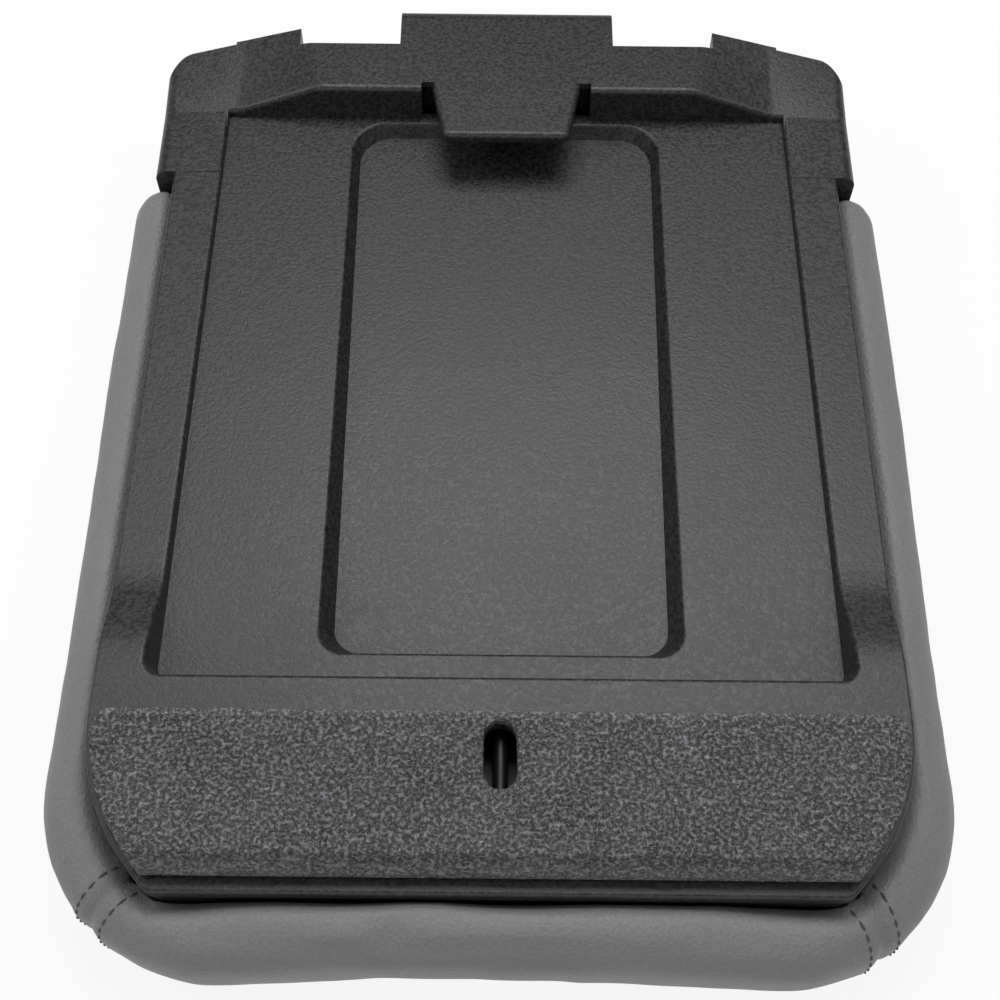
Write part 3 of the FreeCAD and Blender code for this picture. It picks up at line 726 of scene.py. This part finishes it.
def corner_route(cover, side, offset, sizes):
    """Points and normals of a stitch row from the panel's edge over the roll and down the corner."""
    start, outwards, forwards = seam_frame(side, sizes)
    first_angle = 136.0
    angle_step = 2.5
    rays = 82
    lowest = 0.0015
    from_panel = 0.0025
    heart_inset = 0.001
    heart_height = 0.026
    heart = start + forwards * offset - outwards * heart_inset
    heart.z = heart_height
    route = []
    for step in range(rays):
        angle = math.radians(first_angle - step * angle_step)
        aim = outwards * math.cos(angle) + Vector((0, 0, 1)) * math.sin(angle)
        hit, spot, normal, _ = cover.ray_cast(heart, aim)
        if hit and spot.z > lowest and normal.dot(aim) > 0:
            route.append((spot, normal))
    return [item for item in route if panel_distance(item[0], sizes) > from_panel]


def armrest_route(cover, side, offset, sizes):
    """Points and normals of a stitch row along the armrest face, from the front to the hinge end."""
    start, _, _ = seam_frame(side, sizes)
    steps = 60
    below = -0.05
    up = Vector((0, 0, 1))
    from_corner = 0.014
    from_hinge = 0.006
    first = start.y + from_corner
    last = COVER_HIGH.y - from_hinge
    route = []
    for step in range(steps + 1):
        y = first + (last - first) * step / steps
        x = side * (under_seam_x(y, start) - offset)
        hit, spot, normal, _ = cover.ray_cast(Vector((x, y, below)), up)
        if hit:
            route.append((spot, normal))
    return route


def one_stitch(sizes):
    """A short lozenge of thread: a thin cylinder whose ends are drawn in and down."""
    bpy.ops.object.select_all(action="DESELECT")
    bpy.ops.mesh.primitive_cylinder_add(vertices=6, radius=sizes.radius, depth=sizes.stitch,
                                        rotation=(0, math.pi / 2, 0))
    stitch = bpy.context.object
    bpy.ops.object.transform_apply(location=True, rotation=True, scale=True)
    bpy.ops.object.mode_set(mode="EDIT")
    bpy.ops.mesh.select_all(action="SELECT")
    bpy.ops.mesh.bisect(plane_co=(0, 0, 0), plane_no=(1, 0, 0))
    bpy.ops.object.mode_set(mode="OBJECT")
    taper = 0.45
    arch = 0.4
    dip = 0.9
    for vertex in stitch.data.vertices:
        end = abs(vertex.co.x) / (sizes.stitch / 2)
        thin = 1.0 - taper * end
        vertex.co.y *= thin
        vertex.co.z = vertex.co.z * thin + sizes.radius * (arch - dip * end)
    return stitch


def along(route, pitch):
    """Places a pitch apart along a route, each with its direction and normal."""
    places = []
    gone = 0.0
    for (start, normal), (end, _) in zip(route[:-1], route[1:]):
        run = (end - start).length
        while gone < run:
            places.append((start.lerp(end, gone / run), (end - start).normalized(), normal))
            gone += pitch
        gone -= run
    return places


def place_stitch(model, name, spot, forward, normal):
    """Copy the stitch to one place on the cover, no lower than the floor."""
    across = normal.cross(forward).normalized()
    turned = Matrix((forward, across, normal)).transposed().to_4x4()
    copy = bpy.data.objects.new(name, model.data.copy())
    bpy.context.collection.objects.link(copy)
    copy.data.transform(Matrix.Translation(spot) @ turned)
    for vertex in copy.data.vertices:
        vertex.co.z = max(vertex.co.z, 0.0)
    return copy


def build_stitching(cover, cover_sizes, sizes, colours):
    """Two rows of stitches beside each seam, joined to one piece a side."""
    finish = thread_finish(colours)
    model = one_stitch(sizes)
    bpy.context.view_layer.update()
    for side, name in ((-1, "stitching_left"), (1, "stitching_right")):
        copies = []
        for offset in (-sizes.offset, sizes.offset):
            places = along(corner_route(cover, side, offset, cover_sizes), sizes.pitch)
            places += along(armrest_route(cover, side, offset, cover_sizes), sizes.pitch)
            copies += [place_stitch(model, name, *item) for item in places]
        bpy.ops.object.select_all(action="DESELECT")
        for copy in copies:
            copy.select_set(True)
        bpy.context.view_layer.objects.active = copies[0]
        bpy.ops.object.join()
        row = bpy.context.object
        row.name = name
        select_only(row)
        bpy.ops.object.shade_smooth()
        wear(row, finish)
        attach(row, BODY)
    bpy.data.objects.remove(model)


def build_strip(sizes, colours):
    """Foam strip: a merged copy of its solid with soft, slightly ragged cut edges."""
    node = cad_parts["front_foam_strip"]
    strip = bpy.data.objects.new("foam_strip", node.data.copy())
    bpy.context.collection.objects.link(strip)
    select_only(strip)
    bpy.ops.object.mode_set(mode="EDIT")
    bpy.ops.mesh.select_all(action="SELECT")
    bpy.ops.mesh.remove_doubles(threshold=CLOSE)
    trim_front(STRIP_LOW.y + sizes.front_trim)
    bpy.ops.mesh.select_all(action="SELECT")
    narrow = 1.0 - sizes.side_trim / STRIP_HIGH.x
    bpy.ops.transform.resize(value=(narrow, 1.0, 1.0), center_override=(0.0, 0.0, 0.0))
    bpy.ops.object.mode_set(mode="OBJECT")
    strip.data.remesh_voxel_size = sizes.voxel
    bpy.ops.object.voxel_remesh()
    apply_modifier(strip, "SMOOTH", factor=0.5, iterations=4)
    faces_down = -0.2
    coarse_share = 0.8
    normals = [vertex.normal.copy() for vertex in strip.data.vertices]
    for vertex, normal in zip(strip.data.vertices, normals):
        if normal.z > faces_down:
            coarse = noise.noise(vertex.co * 95.0)
            fine = noise.noise(vertex.co * 430.0)
            vertex.co += normal * sizes.rag * (coarse_share * coarse + fine)
    bpy.ops.object.shade_smooth()
    wear(strip, foam_finish(colours, sizes))
    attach(strip, BODY)
    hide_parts("front_foam_strip")


def add_lamp(name, where, aim, size, power):
    """Soft rectangular lamp that looks at a point."""
    data = bpy.data.lights.new(name, "AREA")
    data.shape = "RECTANGLE"
    data.size, data.size_y = size
    data.energy = power
    lamp = bpy.data.objects.new(name, data)
    bpy.context.collection.objects.link(lamp)
    lamp.location = where
    lamp.rotation_euler = (Vector(aim) - Vector(where)).to_track_quat("-Z", "Y").to_euler()


def build_world(sizes):
    """Even light from all round, white where the camera looks straight at it."""
    world = bpy.data.worlds.new("studio")
    bpy.context.scene.world = world
    world.use_nodes = True
    tree = world.node_tree
    background = tree.nodes["Background"]
    background.inputs["Color"].default_value = (1, 1, 1, 1)
    background.inputs["Strength"].default_value = sizes.sky
    soft = Wire(tree, background.outputs[0])
    white = soft.node("ShaderNodeBackground", Color=(1, 1, 1, 1), Strength=1.0)
    eye = Wire(tree, tree.nodes.new("ShaderNodeLightPath").outputs["Is Camera Ray"])
    blend = soft.node("ShaderNodeMixShader", in0=eye, in1=soft, in2=white)
    soft.feed(tree.nodes["World Output"].inputs["Surface"], blend)


def build_stage(sizes, colours):
    """Floor, lamps, world and camera."""
    bpy.ops.object.select_all(action="DESELECT")
    bpy.ops.mesh.primitive_plane_add(size=sizes.floor_size, location=(0, 0, 0))
    floor = bpy.context.object
    floor.name = "studio_floor"
    wear(floor, floor_finish(colours, sizes))
    for lamp in LAMPS:
        add_lamp(*lamp)
    build_world(sizes)
    camera_data = bpy.data.cameras.new("camera")
    camera_data.sensor_width = PICTURE_WIDTH
    camera_data.lens = sizes.lens
    camera = bpy.data.objects.new("camera", camera_data)
    bpy.context.collection.objects.link(camera)
    camera.location = sizes.camera_place
    camera.rotation_euler = Euler(sizes.camera_turn)
    scene = bpy.context.scene
    scene.camera = camera
    scene.view_settings.view_transform = "Standard"


class LID_OT_cover(bpy.types.Operator):
    """Model the padded vinyl cover"""

    bl_idname = "lid.cover"
    bl_label = "Padded cover"

    def execute(self, context):
        build_cover(context.scene.lid_cover, context.scene.lid_colours)
        return {"FINISHED"}


class LID_OT_stitching(bpy.types.Operator):
    """Sew the stitch rows beside the seams"""

    bl_idname = "lid.stitching"
    bl_label = "Stitching"

    def execute(self, context):
        scene = context.scene
        cover = bpy.data.objects["padded_cover"]
        build_stitching(cover, scene.lid_cover, scene.lid_stitch, scene.lid_colours)
        return {"FINISHED"}


class LID_OT_strip(bpy.types.Operator):
    """Model the foam strip on the front platform"""

    bl_idname = "lid.strip"
    bl_label = "Foam strip"

    def execute(self, context):
        build_strip(context.scene.lid_strip, context.scene.lid_colours)
        return {"FINISHED"}


class LID_OT_finishes(bpy.types.Operator):
    """Give the moulded and metal pieces their finishes"""

    bl_idname = "lid.finishes"
    bl_label = "Plastic and steel"

    def execute(self, context):
        colours = context.scene.lid_colours
        finishes = {
            plastic_finish(colours): ("inner_panel", "lid_base"),
            gloss_finish(colours): ("latch_striker",),
            steel_finish(colours): ("hinge_leaf", "hinge_screws", "panel_screws", "striker_screws",
                                    "cover_staples"),
        }
        for finish, names in finishes.items():
            for name in names:
                wear(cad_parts[name], finish)
        return {"FINISHED"}


class LID_OT_stage(bpy.types.Operator):
    """Set up the floor, lamps and camera"""

    bl_idname = "lid.stage"
    bl_label = "Studio"

    def execute(self, context):
        build_stage(context.scene.lid_stage, context.scene.lid_colours)
        return {"FINISHED"}


class LID_PT_sidebar(bpy.types.Panel):
    """List of the lid's pieces"""

    bl_label = "Console lid"
    bl_idname = "LID_PT_sidebar"
    bl_space_type = "VIEW_3D"
    bl_region_type = "UI"
    bl_category = "Console lid"

    def draw(self, context):
        for operator in OPERATORS:
            self.layout.operator(operator.bl_idname)


GROUPS = {
    "lid_cover": LidCoverSizes,
    "lid_stitch": LidStitchSizes,
    "lid_strip": LidStripSizes,
    "lid_colours": LidColours,
    "lid_stage": LidStageSizes,
}
OPERATORS = (LID_OT_cover, LID_OT_stitching, LID_OT_strip, LID_OT_finishes, LID_OT_stage)


def register():
    """Make the properties, operators and panel known to Blender."""
    for cls in (*GROUPS.values(), *OPERATORS, LID_PT_sidebar):
        bpy.utils.register_class(cls)
    for name, group in GROUPS.items():
        setattr(bpy.types.Scene, name, bpy.props.PointerProperty(type=group))


def unregister():
    """Take them all out again."""
    for name in GROUPS:
        delattr(bpy.types.Scene, name)
    for cls in reversed((*GROUPS.values(), *OPERATORS, LID_PT_sidebar)):
        bpy.utils.unregister_class(cls)


def main():
    """Build every piece and the studio."""
    register()
    bpy.ops.object.select_all(action="DESELECT")
    bpy.ops.lid.cover()
    bpy.ops.lid.stitching()
    bpy.ops.lid.strip()
    bpy.ops.lid.finishes()
    bpy.ops.lid.stage()


if __name__ == "__main__":
    main()
